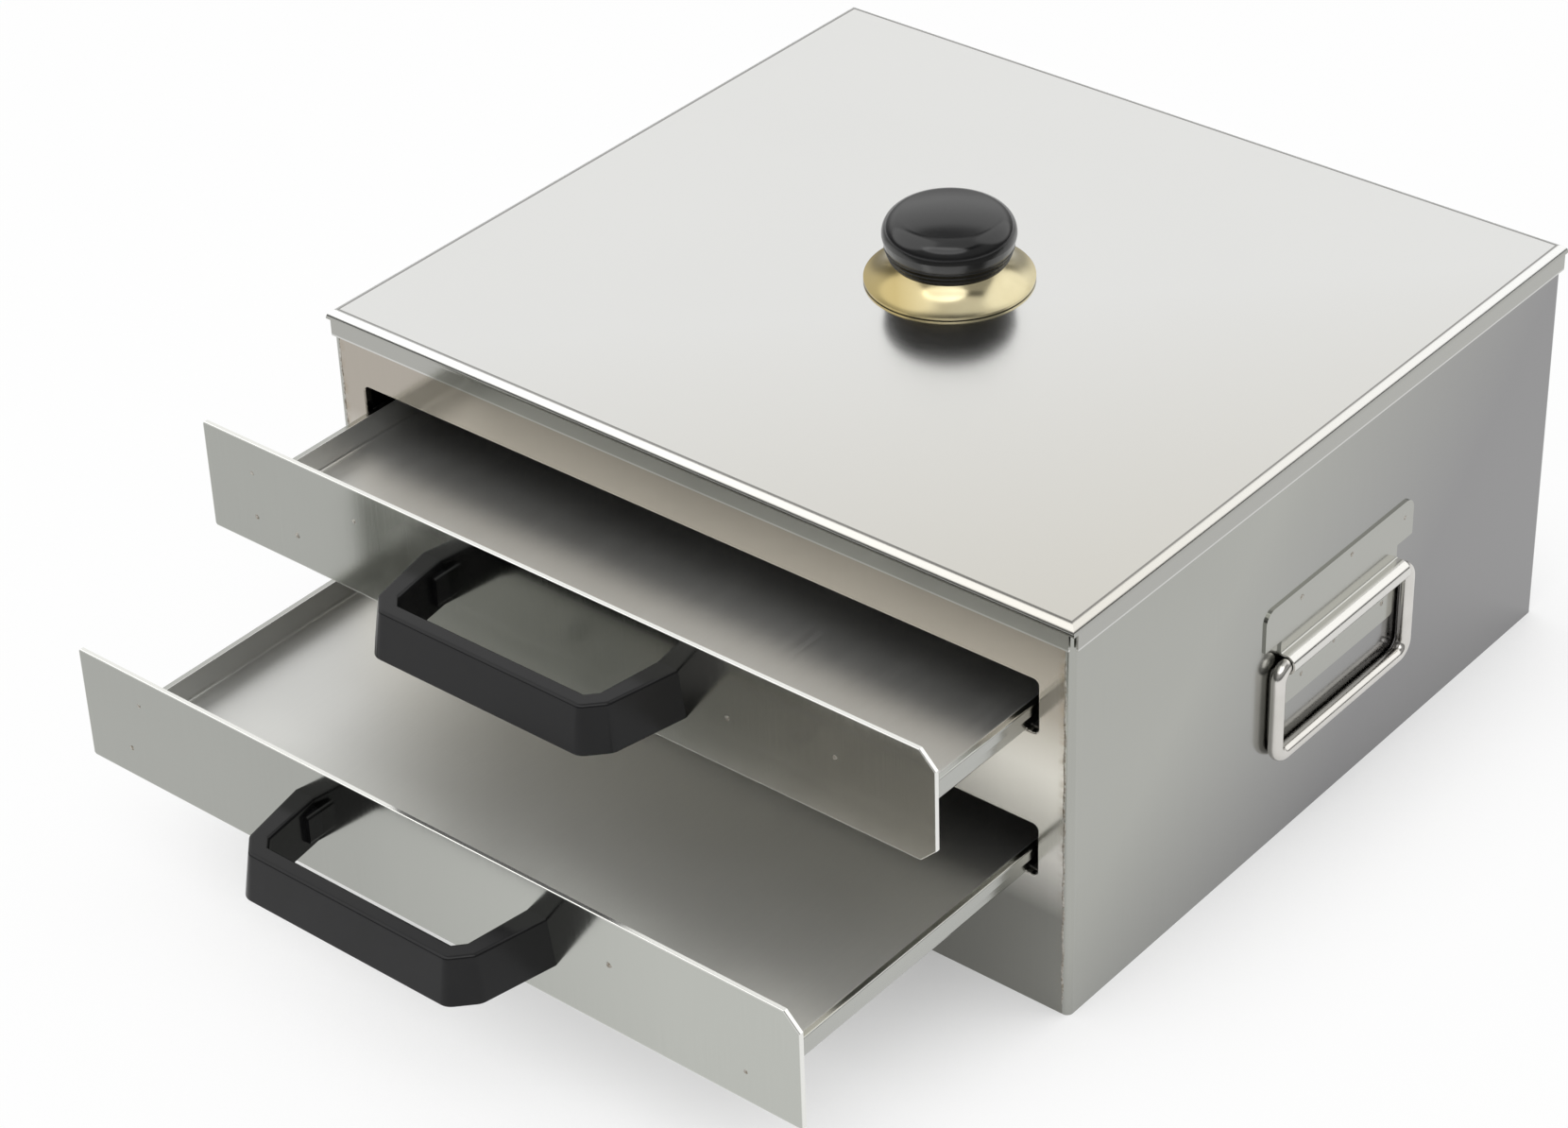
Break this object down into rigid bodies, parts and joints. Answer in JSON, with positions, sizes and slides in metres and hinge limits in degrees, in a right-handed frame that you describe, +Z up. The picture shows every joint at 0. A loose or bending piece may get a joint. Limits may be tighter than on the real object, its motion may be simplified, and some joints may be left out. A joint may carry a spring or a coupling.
{
  "type": "rice noodle roll steamer",
  "caption": "Low square stainless steamer box with shallow pull-out drawer trays behind slots in its front, a lift-off lid with a knob, and drop bails on its sides.",
  "frame": {"origin": "centre of the cabinet's base, on the surface it stands on", "axes": "+Z up, +X to the right when the drawers face the viewer, +Y from the drawer fronts to the back"},
  "size_m": [0.3408, 0.4726, 0.188],
  "materials": {
    "satin_steel": "satin brushed stainless sheet",
    "inner_steel": "mill-finish stainless sheet",
    "tray_steel": "bright pressed stainless sheet",
    "polished_wire": "polished bent wire",
    "black_handle": "satin moulded black plastic",
    "black_knob": "glossy black bakelite",
    "polished_brass": "polished brass",
    "screw_steel": "plain steel screws"
  },
  "bodies": {
    "cabinet": {"body_wrap": "satin_steel", "front_panel": "satin_steel", "bottom_pan": "satin_steel", "runner_lower_left": "inner_steel", "runner_lower_right": "inner_steel", "runner_upper_left": "inner_steel", "runner_upper_right": "inner_steel", "right_saddle": "satin_steel", "left_saddle": "satin_steel"},
    "upper_drawer": {"upper_tray": "tray_steel", "upper_front": "satin_steel", "upper_handle": "black_handle", "upper_handle_screws": "screw_steel"},
    "lower_drawer": {"lower_tray": "tray_steel", "lower_front": "satin_steel", "lower_handle": "black_handle", "lower_handle_screws": "screw_steel"},
    "lid": {"lid_shell": "satin_steel", "knob_head": "black_knob", "knob_ferrule": "polished_brass", "knob_insert": "polished_brass", "knob_screw": "screw_steel", "knob_washer": "screw_steel"},
    "right_bail": {"right_bail": "polished_wire"},
    "left_bail": {"left_bail": "polished_wire"}
  },
  "joints": [
    {"name": "upper_drawer_slide", "type": "slide", "parent": "cabinet", "child": "upper_drawer", "axis": [0, -1, 0], "range_m": [-0.0656, 0.1544]},
    {"name": "lower_drawer_slide", "type": "slide", "parent": "cabinet", "child": "lower_drawer", "axis": [0, -1, 0], "range_m": [-0.1336, 0.0864]},
    {"name": "lid_lift", "type": "slide", "parent": "cabinet", "child": "lid", "axis": [0, 0, 1], "range_m": [0, 0.12]},
    {"name": "right_bail_hinge", "type": "hinge", "parent": "cabinet", "child": "right_bail", "pos_m": [0.16655, 0.008, 0.0775], "axis": [0, -1, 0], "range_deg": [0, 165]},
    {"name": "left_bail_hinge", "type": "hinge", "parent": "cabinet", "child": "left_bail", "pos_m": [-0.16655, 0.008, 0.0775], "axis": [0, 1, 0], "range_deg": [0, 165]}
  ]
}
